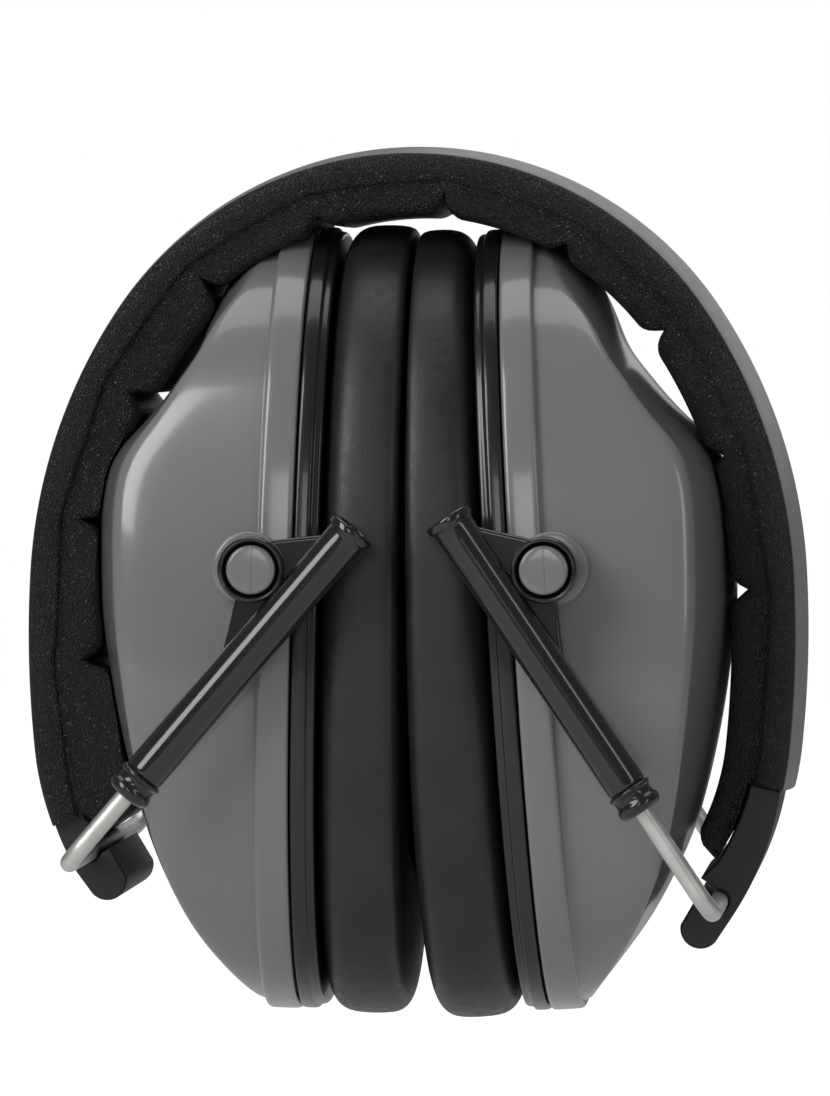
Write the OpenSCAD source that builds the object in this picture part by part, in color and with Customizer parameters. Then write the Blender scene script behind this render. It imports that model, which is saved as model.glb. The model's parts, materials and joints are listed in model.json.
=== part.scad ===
// Folding earmuff hearing protector, shown folded: both cups tucked inside the headband.
// Millimetres, +Z up, X from ear to ear, Y from front to back.
// The origin is the middle of the crown pad's inner face, where the top of the head bears.

/* [Headband] */
// Height of the cover's outer line above the crown pad's inner face
band_top = 9.1; // [8.5:0.1:10]
// Radius of the band over the crown
crown_r = 46.9; // [46.5:0.1:47.5]
// Radius of the band down each side
side_r = 68.6; // [68:0.1:69.5]
// Radius of the nearly straight stretch below the widest point
lower_r = 145; // [140:1:150]
// Radius of the moulded ends
end_r = 40; // [39:0.5:41]
// Width of the grey cover from front to back
cover_w = 36; // [32:1:38]
// Thickness of the grey cover
cover_t = 1.2; // [1:0.1:1.4]
// Rise of the cover's arched back above its edges
cover_crown = 1.1; // [0.8:0.1:1.3]
// Thickness of the spring steel strip
spring_t = 0.8; // [0.6:0.1:0.8]
// Width of the spring steel strip
spring_w = 22; // [18:1:24]
// Width of the padding from front to back
pad_w = 39; // [38:0.5:40]
// Number of stuffed segments in the padding
pad_count = 11; // [11]

/* [Cups] */
// Distance of each pivot stud from the middle plane
stud_x = 18.5; // [18.3:0.1:18.7]
// Height of the pivot studs, below the crown pad
stud_z = -45; // [-45.2:0.1:-44.8]
// Height of a cup's rim
cup_h = 102.4; // [101:0.2:103]
// Width of a cup's rim from front to back
cup_w = 77; // [75:0.5:78]
// Wall of the cup shell
shell_wall = 2.2; // [1.8:0.1:2.6]
// Thickness of the seal plate
plate_t = 3.3; // [3:0.1:3.5]
// Thickness of an ear cushion at its pivot height
cushion_t = 10.2; // [9.8:0.1:10.6]

/* [Yokes] */
// Diameter of the steel wire
wire_d = 2.4; // [2.2:0.1:2.6]
// Distance from the middle plane to each sleeve's axis, front and back
sleeve_y = 43.3; // [43:0.1:44]
// Length of a sleeve between its end faces
sleeve_l = 41.2; // [40:0.2:43]
// Outer diameter of a sleeve
sleeve_d = 5.3; // [5.2:0.1:5.6]
// Distance from a sleeve's axis to its ring's centre
ring_offset = 6.5; // [6.2:0.1:7]

/* [Hidden] */
$fn = 64;
e = 0.01;
gap = 0.1;
LEFT = -1;
RIGHT = 1;

// ---- The band's outer line: four tangent arcs from the crown down each side ----
arc_r = [crown_r, side_r, lower_r, end_r];
arc_turn = [56.3, 30.5, 9.2, 60];
function turned(i) = i == 0 ? 0 : turned(i - 1) + arc_turn[i - 1];
function arc_s(i) = i == 0 ? 0 : arc_s(i - 1) + arc_r[i - 1] * arc_turn[i - 1] * PI / 180;
function arc_c(i) = i == 0 ? [0, band_top - crown_r]
    : arc_c(i - 1) + (arc_r[i - 1] - arc_r[i]) * [sin(turned(i)), cos(turned(i))];
function arc_at(s) = s < arc_s(1) ? 0 : s < arc_s(2) ? 1 : s < arc_s(3) ? 2 : 3;
function turn_at(s) = let (i = arc_at(s)) turned(i) + (s - arc_s(i)) / arc_r[i] * 180 / PI;
// A point s along the line from the crown, d inside it. Negative s runs down the left side.
function on_band(s, d) = let (a = abs(s), i = arc_at(a), t = turn_at(a), r = arc_r[i] - d,
    p = arc_c(i) + r * [sin(t), cos(t)]) [s < 0 ? -p[0] : p[0], p[1]];

// Where the pieces lie along the line. The band sits a little to the right, the padding to the left.
cover_end = [-104.3, 111];
pivot_s = [-121.6, 128.3];
pivot_depth = [3.8, 2.4];
pad_end = [-120, 123.5];
side_wall_end = [-116.3, 111];
pad_pitch = 19.91;
pad_start = -114.5;
hinge_seam = [4, 7];
function weld(k) = k == 0 ? pad_end[0] : k == pad_count ? pad_end[1] : pad_start + k * pad_pitch;
flex_s = [weld(hinge_seam[0]), weld(hinge_seam[1])];
spring_in = 6;
side_gap = 0.05;

// Depths below the cover's arched line
edge_depth = cover_crown;
spring_depth = cover_crown + cover_t + gap;
pad_depth = spring_depth + spring_t + gap;
pad_weld = 6.2;
lip_depth = cover_crown + 0.1;
end_top = 1.5;
end_depth = 5.6;
flap_depth = 5.9;
// How deep each segment's stuffing reaches: the crown's segment sets the origin, the left ones are pressed least flat
pad_full = [for (more = [5, 1.5, 1.2, 2.3, 0.3, 0, 0, 0.2, 0.3, 0.2, 0.3]) band_top + more];

// A side's index, in the lists that hold a left and a right value
function nth(side) = side < 0 ? 0 : 1;
function pivot(side) = let (p = on_band(pivot_s[nth(side)], pivot_depth[nth(side)])) [abs(p[0]), p[1]];

// ---- The yokes: from the pivots and the studs comes each arm's angle ----
ring_from_top = 12.5;
bush_l = 3.5;
function reach(side) = let (v = [stud_x, stud_z] - pivot(side)) sqrt(v * v - ring_offset * ring_offset);
function arm_angle(side) = let (v = [stud_x, stud_z] - pivot(side))
    atan2(v[1], -v[0]) - atan2(ring_offset, reach(side));
// Distance from the hinge wire's axis to the bush's lower face
function bare_wire(side) = reach(side) + ring_from_top - sleeve_l - bush_l;
wire_r = wire_d / 2;
bend_r = 3.2;
leg_l = 47;
bead_r = 1.7;
bead_l = 2.4;
tube_bore_r = 1.85;
bush_bore_r = wire_r + gap;

// ---- The cups ----
cup_tilt = [1.3, 3.6];
cup_mid = -7.3;
plate_front = -8;
rim_u = plate_front + plate_t;
stud_r = 2.8;
head_r = 3.15;
head_t = 1.3;
ring_r = 4.3;
ring_y = [39.9, 44.7];
cap_t = 1.8;
boss_r = 4.8;
boss_out = 0.7;
// The dome's line over the middle: height from the stud, and how far it stands out from the flange
dome_line = [[-57.6, 0], [-45, 10.2], [-33, 16.3], [-15.4, 21], [-5, 22.6], [5, 22.9], [11, 22.2], [15, 20.2],
    [16.6, 18.6], [18.8, 16.5], [23, 13.2], [27.5, 10.3], [32.5, 8.7], [36.5, 7], [41, 3.6], [43.3, 0]];
foot_inset = 1.15;
wall_slope = 9;
corner_power = 7;
crown_drop = 0.24;
// The shoulder's contours bend down towards the front and back
shoulder_z = [24, 37];
shoulder_bend = 0.011;
// Share of the way out from the dome's middle to its foot, for each ring of its surface
dome_shares = [1, 0.99, 0.975, 0.955, 0.925, 0.88, 0.8, 0.68, 0.52, 0.34, 0.14];
outline_power = 2.35;
outline_n = 40;

// A rounded oval: half height h, half width w, centred at height c, as [y, z] points
function outline(h, w, c = 0, n = outline_n) = [for (i = [0:n - 1]) let (t = 360 * i / n,
    a = cos(t), b = sin(t), q = 2 / outline_power)
    [w * sign(a) * pow(abs(a), q), c + h * sign(b) * pow(abs(b), q)]];
function at_u(points, u) = [for (p = points) [u, p[0], p[1]]];

// Closed skin through a list of rings of equal size, each a list of 3-D points
module skin(rings) {
    n = len(rings[0]);
    m = len(rings);
    middle = [for (r = [rings[0], rings[m - 1]]) [for (k = [0:2]) [for (p = r) p[k]] * [for (p = r) 1] / n]];
    points = concat([for (r = rings) for (p = r) p], middle);
    sides = [for (j = [0:m - 2]) for (i = [0:n - 1]) let (a = j * n + i, b = j * n + (i + 1) % n)
        each [[a, a + n, b], [b, a + n, b + n]]];
    caps = [for (i = [0:n - 1]) let (i2 = (i + 1) % n)
        each [[i, i2, n * m], [(m - 1) * n + i2, (m - 1) * n + i, n * m + 1]]];
    polyhedron(points, concat(sides, caps));
}

// Closed loop of rings, the last joined to the first
module loop_skin(rings) {
    n = len(rings[0]);
    m = len(rings);
    polyhedron([for (r = rings) for (p = r) p], [for (j = [0:m - 1]) for (i = [0:n - 1])
        let (k = (j + 1) % m, a = j * n + i, b = j * n + (i + 1) % n, c = k * n + i, d = k * n + (i + 1) % n)
        each [[a, c, b], [b, c, d]]]);
}

// ---- Placing ----
// Everything is drawn for the right side, and the left side is its mirror image
module on_side(side) {
    if (side < 0) mirror([1, 0, 0]) children();
    else children();
}

// The arm's frame: origin on the hinge wire's axis, +Z along the arm, +X towards the ring
module arm_frame(side) {
    p = pivot(side);
    on_side(side) translate([p[0], 0, p[1]]) rotate([0, arm_angle(side) - 90, 0]) children();
}

// The cup's frame: origin on the studs' axis, +X outward
module cup_frame(side) {
    on_side(side) translate([stud_x, 0, stud_z]) rotate([0, -cup_tilt[nth(side)], 0]) children();
}

// The same placing for points: cup frame to right-hand row frame, kept on its own side of the middle
function placed(p, side, low) = let (t = cup_tilt[nth(side)],
    x = stud_x + p[0] * cos(t) - p[2] * sin(t),
    z = stud_z + p[0] * sin(t) + p[2] * cos(t)) [max(x, low), p[1], z];

// Extrudes [y, z] outlines along X
module along_x(from, to) {
    translate([from, 0, 0]) rotate([90, 0, 90]) linear_extrude(to - from) children();
}

// Extrudes [x, z] outlines along Y, symmetrical about the middle
module along_y(width) {
    rotate([90, 0, 0]) linear_extrude(width, center = true) children();
}

// ---- Headband ----
// Side view of a strip that follows the band from s0 to s1 between two depths
module strip_outline(s0, s1, d0, d1) {
    n = ceil((s1 - s0) / 3);
    polygon([for (d = [d0, d1]) for (j = [0:n]) let (f = d == d0 ? j / n : 1 - j / n) on_band(s0 + (s1 - s0) * f, d)]);
}

// The cover: a strip with an arched back, in stations along the band, each an outer and an inner row
module cover(s0, s1) {
    w = cover_w / 2;
    r = (w * w + cover_crown * cover_crown) / (2 * cover_crown);
    half = 6;
    m = 2 * half + 1;
    arch = [for (i = [-half:half]) let (y = w * i / half) [r - sqrt(r * r - y * y), y]];
    section = concat(arch, [for (i = [m - 1:-1:0]) arch[i] + [cover_t, 0]]);
    stations = ceil((s1 - s0) / 3.5);
    n = len(section);
    points = [for (j = [0:stations]) for (q = section)
        let (p = on_band(s0 + (s1 - s0) * j / stations, q[0])) [p[0], q[1], p[1]]];
    sides = [for (j = [0:stations - 1]) for (i = [0:n - 1])
        let (a = j * n + i, b = j * n + (i + 1) % n) each [[a, b, a + n], [b, b + n, a + n]]];
    last = stations * n;
    caps = [for (i = [0:m - 2]) each [[i + 1, i, n - 1 - i, n - 2 - i],
        [last + i, last + i + 1, last + n - 2 - i, last + n - 1 - i]]];
    color("silver") polyhedron(points, concat(sides, caps));
}

// A radial peg through the spring and into the moulded end
module peg(s, r, d0, d1) {
    a = abs(s);
    c = arc_c(arc_at(a));
    on_side(sign(s)) translate([c[0], 0, c[1]]) rotate([0, turn_at(a), 0])
        translate([0, 0, arc_r[arc_at(a)] - d1]) cylinder(r = r, h = d1 - d0);
}

peg_r = 2;
peg_back = 3;
function peg_s(side) = cover_end[nth(side)] + side * (spring_in - peg_back);

module spring(s0, s1) {
    color("lightsteelblue") difference() {
        along_y(spring_w) strip_outline(s0, s1, spring_depth, spring_depth + spring_t);
        for (side = [LEFT, RIGHT])
            peg(peg_s(side), peg_r + gap, spring_depth - 1, spring_depth + spring_t + 1);
    }
}

// How far the stuffing stands out, rounded off over pad_round at each weld: 0 at a weld, 1 away from it
function plump(l, t) = let (d = min(1, min(t, 1 - t) * l / pad_round)) sqrt(1 - (1 - d) * (1 - d));
pad_round = 3.4;

// Steps along a segment: close together near its welds
pad_steps = [0, 0.02, 0.05, 0.1, 0.17, 0.3, 0.5, 0.7, 0.83, 0.9, 0.95, 0.98, 1];

// The padding's side view: each segment bulges inward from a back that lies under the band ends
module padding_outline(k0, k1) {
    n = ceil((weld(k1) - weld(k0)) / 3);
    face = [for (k = [k0:k1 - 1]) for (j = [(k == k0 ? 0 : 1):len(pad_steps) - 1])
        let (t = pad_steps[j], l = weld(k + 1) - weld(k), s = weld(k) + l * t)
        on_band(s, pad_weld + (pad_full[k] - pad_weld) * plump(l, t))];
    back = [for (j = [n:-1:0]) on_band(weld(k0) + (weld(k1) - weld(k0)) * j / n, flap_depth)];
    polygon(concat(face, back));
}

// Side view of the side walls, which wrap the edges of the cover
module side_wall_outline(k0, k1) {
    strip_outline(max(weld(k0), side_wall_end[0]), min(weld(k1), side_wall_end[1]), lip_depth, flap_depth + e);
}

// What the padding leaves free between its side walls: the cover and spring, and the band ends beyond them
module padding_channel() {
    above = -1;
    end_room = 0.2;
    end_l = 22;
    hook_room = 0.5;
    along_y(cover_w + 2 * gap) union() {
        strip_outline(cover_end[0] - hook_room, cover_end[1] + hook_room, above, pad_depth);
        for (side = [LEFT, RIGHT]) {
            a = abs(cover_end[nth(side)]) - gap;
            on_side(side) strip_outline(a, a + end_l, above, end_depth + end_room);
            on_side(side) hook_outline(side, hook_room);
        }
    }
}

// A cup's side view with room around it, which the soft padding gives way to
module cup_silhouette(side, room) {
    h = cup_h / 2 + room;
    shape = concat([[-stud_x, cup_mid - h], [room, cup_mid - h]],
        [for (q = dome_line) [q[1] + room, q[0] + sign(q[0]) * room]],
        [[room, cup_mid + h], [-stud_x, cup_mid + h]]);
    on_side(side) polygon([for (p = shape) let (q = placed([p[0], 0, p[1]], side, 0)) [q[0], q[2]]]);
}

// A point of the hook, drawn on the right: t along the band from the wire's axis, n inward from it
function hook_point(side, t, n) = let (a = turn_at(abs(pivot_s[nth(side)])))
    pivot(side) + t * [cos(a), -sin(a)] - n * [sin(a), cos(a)];

// Side view of the hook at a band end, drawn on the right, with room around it
module hook_outline(side, room) {
    hull() for (c = [[1.1, 0.3, 3.1], [4.4, -0.2, 2.6]])
        translate(hook_point(side, c[0], c[1])) circle(c[2] + room);
}

// Side view of a band end's strip: its back rises from under the cover's end to just outside the wire
module end_outline(side) {
    i = nth(side);
    a = abs(cover_end[i]) + side_gap;
    l = abs(pivot_s[i]) - a;
    n = 8;
    back = pivot_depth[i] - end_over_wire - end_top;
    polygon(concat([for (j = [0:n]) on_band(a + l * j / n, end_top + back * j / n)],
        [for (j = [n:-1:0]) on_band(a + l * j / n, end_depth - gap)]));
}
end_over_wire = 2.2;

module padding(k0, k1) {
    cup_room = 0.5;
    trim = 0.15;
    color("#222222") difference() {
        along_y(pad_w) difference() {
            union() {
                padding_outline(k0, k1);
                side_wall_outline(k0, k1);
            }
            for (side = [LEFT, RIGHT]) {
                cup_silhouette(side, cup_room);
                on_side(side) translate(pivot(side)) circle(wire_r + cup_room);
            }
            for (k = [k0, k1]) if (k > 0 && k < pad_count) {
                a = on_band(weld(k), 0);
                b = on_band(weld(k), pad_full[k] + 4);
                d = (b - a) / norm(b - a);
                n = [-d[1], d[0]] * trim / 2;
                polygon([a + n, b + n, b - n, a - n]);
            }
        }
        padding_channel();
    }
}

// Moulded band end: a strip under the cover's end, and the snap hook that holds the hinge wire
module band_end(side) {
    p = pivot(side);
    width = 31;
    boss_l = 1.6;
    boss_wall = 0.9;
    slot_w = wire_d - 0.3;
    slot_l = 9;
    tongue_l = spring_in + 0.5;
    on_side(side) color("#1c1c1c") difference() {
        union() {
            along_y(width) union() {
                end_outline(side);
                hook_outline(side, 0);
            }
            for (y = [-1, 1]) translate([p[0], y * (width + boss_l) / 2, p[1]])
                rotate([90, 0, 0]) cylinder(r = wire_r + boss_wall, h = boss_l + 2 * e, center = true);
        }
        along_y(width + 10) union() {
            translate(p) circle(wire_r + gap);
            polygon([for (q = [[-0.5, 0], [-0.5, slot_l], [0.5, slot_l], [0.5, 0]]) hook_point(side, q[0] * slot_w, q[1])]);
        }
        spring_pocket(side, tongue_l);
    }
}

// The pocket in a band end that takes the spring's end, with the peg that holds it
module spring_pocket(side, depth) {
    a = abs(cover_end[nth(side)]);
    difference() {
        along_y(spring_w + 2 * gap) strip_outline(a - 1, a + depth, spring_depth - gap, spring_depth + spring_t + gap);
        peg(a + spring_in - peg_back, peg_r, spring_depth - 1, spring_depth + spring_t + 1);
    }
}

// ---- Yokes ----
module wire_yoke(side) {
    straight = 2 * (sleeve_y - bend_r);
    color("gainsboro") arm_frame(side) {
        rotate([90, 0, 0]) cylinder(r = wire_r, h = straight, center = true);
        for (y = [-1, 1]) scale([1, y, 1]) translate([0, sleeve_y - bend_r, bend_r]) {
            rotate([90, 0, 90]) rotate([0, 0, -90]) rotate_extrude(angle = 90) translate([bend_r, 0]) circle(wire_r);
            translate([0, bend_r, 0]) cylinder(r = wire_r, h = leg_l - bend_r);
            translate([0, bend_r, leg_l - bend_r - bead_l]) cylinder(r = bead_r, h = bead_l);
        }
    }
}

// One sleeve: the tube the wire slides in, with the ring that turns on the cup's stud
module sleeve(side, end) {
    z0 = bare_wire(side) + bush_l;
    r = sleeve_d / 2;
    ring_z = z0 + sleeve_l - ring_from_top;
    flange_r = r + 0.45;
    flange_l = 1;
    web_t = 2.2;
    web_y = 41.3;
    color("#151515") arm_frame(side) scale([1, end, 1]) difference() {
        union() {
            translate([0, sleeve_y, z0]) cylinder(r = r, h = sleeve_l);
            translate([0, sleeve_y, z0 + sleeve_l - flange_l]) cylinder(r = flange_r, h = flange_l);
            translate([ring_offset, ring_y[0], ring_z]) rotate([-90, 0, 0]) cylinder(r = ring_r, h = ring_y[1] - ring_y[0]);
            translate([0, web_y, 0]) along_y(web_t) polygon([
                [0, ring_z - 13], [2.2, ring_z - 9.5], [3.2, ring_z - 6], [ring_offset - 0.6, ring_z - ring_r + 0.6],
                [ring_offset + 0.5, ring_z], [ring_offset + 2.2, ring_z + ring_r - 1], [1, ring_z + 10.6], [0, ring_z + 10.6]
            ]);
        }
        translate([0, sleeve_y, z0 - 1]) cylinder(r = tube_bore_r, h = sleeve_l);
        translate([ring_offset, ring_y[0] - 1, ring_z]) rotate([-90, 0, 0])
            cylinder(r = stud_r + gap, h = ring_y[1] - ring_y[0] + 2);
        translate([ring_offset, ring_y[1] - head_t - gap, ring_z]) rotate([-90, 0, 0])
            cylinder(r = head_r + 0.4, h = head_t + 1);
    }
}

// The friction bush that closes a sleeve's lower end around the wire
module bush(side, end) {
    z0 = bare_wire(side);
    r = sleeve_d / 2;
    spigot = 3;
    neck = 1;
    ridge = r + 0.3;
    lip = [[0, 0], [r - 0.3, 0], [ridge, 0.7], [ridge, 1.5], [r - 0.1, 1.9], [r - 0.1, 1.9 + neck],
        [ridge, 3], [ridge, bush_l], [tube_bore_r - gap / 2, bush_l],
        [tube_bore_r - gap / 2, bush_l + spigot], [0, bush_l + spigot]];
    color("#101010") arm_frame(side) scale([1, end, 1]) translate([0, sleeve_y, z0]) difference() {
        rotate_extrude() polygon(lip);
        translate([0, 0, -1]) cylinder(r = bush_bore_r, h = bush_l + spigot + 2);
    }
}

// ---- Cups ----
// How far the dome stands out at (y, z), edge in from its foot: a steep wall rounded over into the cap
function shoulder(z) = let (t = max(0, min(1, (z - shoulder_z[0]) / (shoulder_z[1] - shoulder_z[0])))) t * t * (3 - 2 * t);
function dome_out(y, z, edge) = let (cap = lookup(z + shoulder_bend * y * y * shoulder(z), dome_line)
        * (1 - crown_drop * pow(2 * y / cup_w, 2)),
    wall = wall_slope * edge) min(cap, wall) < 0.001 ? 0
    : pow(pow(cap, -corner_power) + pow(wall, -corner_power), -1 / corner_power);

// The dome's surface as rings from its foot to its middle, moved in from the outside by a wall
function dome_rings(wall, cap) = [for (share = dome_shares)
    [for (p = outline(cup_h / 2 - foot_inset - wall, cup_w / 2 - foot_inset - wall, cup_mid))
        let (y = p[0] * share, z = cup_mid + (p[1] - cup_mid) * share)
        [max(dome_out(y, z, (1 - share) * norm([p[0], p[1] - cup_mid])) - cap, -cap * share), y, z]]];

module cup_shell(side) {
    h = cup_h / 2;
    w = cup_w / 2;
    rim_wall = 2.4;
    step = 0.3;
    stud_y = [34.5, ring_y[1] - gap];
    color("slategray") cup_frame(side) difference() {
        union() {
            skin(concat([at_u(outline(h, w, cup_mid), rim_u), at_u(outline(h, w, cup_mid), -step)],
                dome_rings(0, 0)));
            for (y = [-1, 1]) scale([1, y, 1]) rotate([-90, 0, 0]) {
                translate([0, 0, stud_y[0]]) cylinder(r = stud_r, h = stud_y[1] - stud_y[0]);
                translate([0, 0, stud_y[1] - head_t]) cylinder(r = head_r, h = head_t);
                translate([boss_out, 0, stud_y[0]]) cylinder(r = boss_r, h = ring_y[0] - 0.4 - stud_y[0]);
            }
        }
        skin(concat([at_u(outline(h - rim_wall, w - rim_wall, cup_mid), rim_u - 1),
            at_u(outline(h - rim_wall, w - rim_wall, cup_mid), -step - cap_t)],
            dome_rings(shell_wall, cap_t)));
    }
}

module seal_plate(side) {
    h = cup_h / 2 - 0.1;
    w = cup_w / 2 - 0.1;
    lip_in = 2.6;
    lip_l = 2.2;
    lip_t = 1.4;
    color("#181818") cup_frame(side) difference() {
        union() {
            along_x(plate_front, rim_u - 0.02) polygon(outline(h, w, cup_mid));
            along_x(plate_front, rim_u + lip_l) polygon(outline(h - lip_in, w - lip_in, cup_mid));
        }
        along_x(plate_front - 1, rim_u + e) polygon(outline(open_h, open_w, cup_mid));
        along_x(rim_u, rim_u + lip_l + 1) polygon(outline(h - lip_in - lip_t, w - lip_in - lip_t, cup_mid));
    }
}
open_h = 33;
open_w = 23;

// The foam liner follows the dome's inside and leaves room for the ear
module damping_foam(side) {
    clear = 0.3;
    hollow_depth = 13;
    color("dimgray") cup_frame(side) difference() {
        skin(dome_rings(shell_wall + clear, cap_t + clear));
        along_x(-10, hollow_depth) polygon(outline(26, 22, -12));
    }
}

// The ear cushion's ring: a rounded section carried round the rim's outline, shrunk by inset
function cushion_ring(side, inset, low, back) = let (n = 18, front = -stud_x - 1.2,
    half = (back - front - inset) / 2, mid = (back + front + inset) / 2,
    ho = cup_h / 2 - 0.2 - inset, wo = cup_w / 2 - 0.2 - inset, hi = open_h - 2 + inset, wi = open_w - 2 + inset)
    [for (j = [0:n - 1]) let (t = 360 * j / n, q = 0.55, c = cos(t), s = sin(t),
        k = (1 + sign(c) * pow(abs(c), q)) / 2, u = mid + half * sign(s) * pow(abs(s), q),
        o = outline(hi + (ho - hi) * k, wi + (wo - wi) * k, cup_mid, 36))
        [for (p = o) placed([u, p[0], p[1]], side, low)]];

face_gap = 0.3;
skin_t = 0.6;
cushion_back = plate_front - 0.05;

module cushion_foam(side) {
    inset = skin_t + 0.1;
    color("#555555") on_side(side) loop_skin(cushion_ring(side, inset, face_gap + inset, cushion_back));
}

// The soft skin round the foam, open at the back where it is welded to the seal plate
module cushion_cover(side) {
    color("#2a2a2a") on_side(side) difference() {
        loop_skin(cushion_ring(side, 0, face_gap, cushion_back));
        loop_skin(cushion_ring(side, skin_t, face_gap + skin_t, cushion_back + 1));
    }
}

half_seam = side_gap / 2;
cover(flex_s[0] + half_seam, flex_s[1] - half_seam);  // crown_cover
cover(cover_end[0], flex_s[0] - half_seam);  // left_cover
cover(flex_s[1] + half_seam, cover_end[1]);  // right_cover
spring(flex_s[0] + half_seam, flex_s[1] - half_seam);  // crown_spring
spring(cover_end[0] - spring_in, flex_s[0] - half_seam);  // left_spring
spring(flex_s[1] + half_seam, cover_end[1] + spring_in);  // right_spring
padding(hinge_seam[0], hinge_seam[1]);  // crown_padding
padding(0, hinge_seam[0]);  // left_padding
padding(hinge_seam[1], pad_count);  // right_padding
band_end(LEFT);  // left_band_end
band_end(RIGHT);  // right_band_end
wire_yoke(LEFT);  // left_wire_yoke
wire_yoke(RIGHT);  // right_wire_yoke
sleeve(LEFT, -1);  // left_front_sleeve
sleeve(LEFT, 1);  // left_rear_sleeve
sleeve(RIGHT, -1);  // right_front_sleeve
sleeve(RIGHT, 1);  // right_rear_sleeve
bush(LEFT, -1);  // left_front_bush
bush(LEFT, 1);  // left_rear_bush
bush(RIGHT, -1);  // right_front_bush
bush(RIGHT, 1);  // right_rear_bush
cup_shell(LEFT);  // left_cup_shell
cup_shell(RIGHT);  // right_cup_shell
seal_plate(LEFT);  // left_seal_plate
seal_plate(RIGHT);  // right_seal_plate
damping_foam(LEFT);  // left_damping_foam
damping_foam(RIGHT);  // right_damping_foam
cushion_foam(LEFT);  // left_cushion_foam
cushion_foam(RIGHT);  // right_cushion_foam
cushion_cover(LEFT);  // left_cushion_cover
cushion_cover(RIGHT);  // right_cushion_cover
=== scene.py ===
"""Folding earmuff hearing protector, folded: the looks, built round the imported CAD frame.

Lengths are millimetres, turned into metres by MM as each mesh is made. The floor, the lights, the
camera's distance and the materials' bump heights are in metres. Everything on the two sides is
drawn for the right side (+X) and mirrored for the left.
"""
import json
import math

import bmesh
import bpy
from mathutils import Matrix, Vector
from mathutils.bvhtree import BVHTree


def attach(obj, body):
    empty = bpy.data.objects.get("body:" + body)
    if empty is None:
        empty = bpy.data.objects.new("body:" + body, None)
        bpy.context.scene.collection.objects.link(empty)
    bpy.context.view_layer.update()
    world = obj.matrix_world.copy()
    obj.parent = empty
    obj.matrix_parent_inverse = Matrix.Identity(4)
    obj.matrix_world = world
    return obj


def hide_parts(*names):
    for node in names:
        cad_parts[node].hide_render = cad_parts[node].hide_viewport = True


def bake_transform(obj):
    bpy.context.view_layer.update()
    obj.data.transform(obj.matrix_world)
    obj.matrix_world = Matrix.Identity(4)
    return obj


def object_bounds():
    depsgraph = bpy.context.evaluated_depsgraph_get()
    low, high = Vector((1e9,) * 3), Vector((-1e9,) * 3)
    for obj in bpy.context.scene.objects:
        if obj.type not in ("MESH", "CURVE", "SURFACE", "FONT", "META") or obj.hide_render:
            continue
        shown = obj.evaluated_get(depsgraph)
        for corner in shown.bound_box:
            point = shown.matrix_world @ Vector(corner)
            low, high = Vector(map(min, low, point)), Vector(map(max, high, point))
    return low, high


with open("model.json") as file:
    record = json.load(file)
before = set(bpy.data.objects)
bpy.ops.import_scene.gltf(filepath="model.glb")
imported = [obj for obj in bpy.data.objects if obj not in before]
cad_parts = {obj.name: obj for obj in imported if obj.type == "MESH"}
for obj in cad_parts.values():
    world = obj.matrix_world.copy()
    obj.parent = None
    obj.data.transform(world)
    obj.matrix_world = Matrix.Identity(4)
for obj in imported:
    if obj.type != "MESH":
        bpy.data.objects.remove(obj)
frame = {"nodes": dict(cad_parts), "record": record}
cad_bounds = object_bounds()
scene = bpy.context.scene

MM = 0.001
SHARP_ANGLE = math.radians(50)
LEFT, RIGHT = -1, 1
SIDES = {"left": LEFT, "right": RIGHT}
ENDS = {"front": -1, "rear": 1}

# Studio: each light's name, place, size and power
LIGHT_TARGET = (0, 0, -0.045)
LIGHTS = (
    ("key_upper_left", (-0.62, -0.75, 0.5), (0.45, 0.8), 6.0),
    ("fill_right", (0.8, -0.7, 0.2), (0.2, 0.6), 0.8),
    ("front_strip", (-0.03, -1.3, 0.25), (0.25, 0.5), 1.1),
    ("top_soft", (0.0, 0.1, 0.8), (0.8, 0.6), 2.2),
    ("rear_soft", (0.3, 0.9, 0.4), (0.8, 0.8), 0.9),
    ("low_left", (-0.7, -0.55, -0.5), (0.4, 0.5), 2.4),
)
# How far under the folded object the floor lies, so that it clears the cups when they are unfolded
UNFOLDED_DROP = 0.09
# Where most of a noise texture's values lie
NOISE_LOW, NOISE_HIGH = 0.3, 0.7

# Headband: its line is four tangent arcs a side, from the crown down
BAND_TOP = 9.1
ARC_RADIUS = (46.9, 68.6, 145.0, 40.0)
ARC_TURN = (56.3, 30.5, 9.2, 60.0)
COVER_W, COVER_T, COVER_ARCH = 36.0, 1.2, 1.1
SPRING_W, SPRING_T, SPRING_DEPTH = 22.0, 0.8, 2.4
PAD_W = 39.0
PAD_COUNT, PAD_PITCH, PAD_START = 11, 19.91, -114.5
# How much deeper than the crown's each segment is stuffed, from the left end to the right
PAD_MORE = (5.0, 1.5, 1.2, 2.3, 0.3, 0.0, 0.0, 0.2, 0.3, 0.2, 0.3)
# Where each layer ends along the band
PAD_END = {"left": -120.0, "right": 123.5}
COVER_END = {"left": -104.3, "right": 111.0}
WALL_END = {"left": -116.3, "right": 111.0}
# The weld where the left and right strips meet
SPLIT_WELD = 6

# Cups
STUD_X, STUD_Z = 18.5, -45.0
CUP_H, CUP_W, CUP_MID = 102.4, 77.0, -7.3
CUP_TILT = {"left": 1.3, "right": 3.6}
PLATE_FRONT, PLATE_T = -8.0, 3.3
RIM_U = PLATE_FRONT + PLATE_T
SHELL_WALL = 2.2
OUTLINE_POWER = 2.35
OPEN_H, OPEN_W = 33.0, 23.0
# How far in from the flange's edge the dome starts
FOOT_INSET = 1.15
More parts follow.
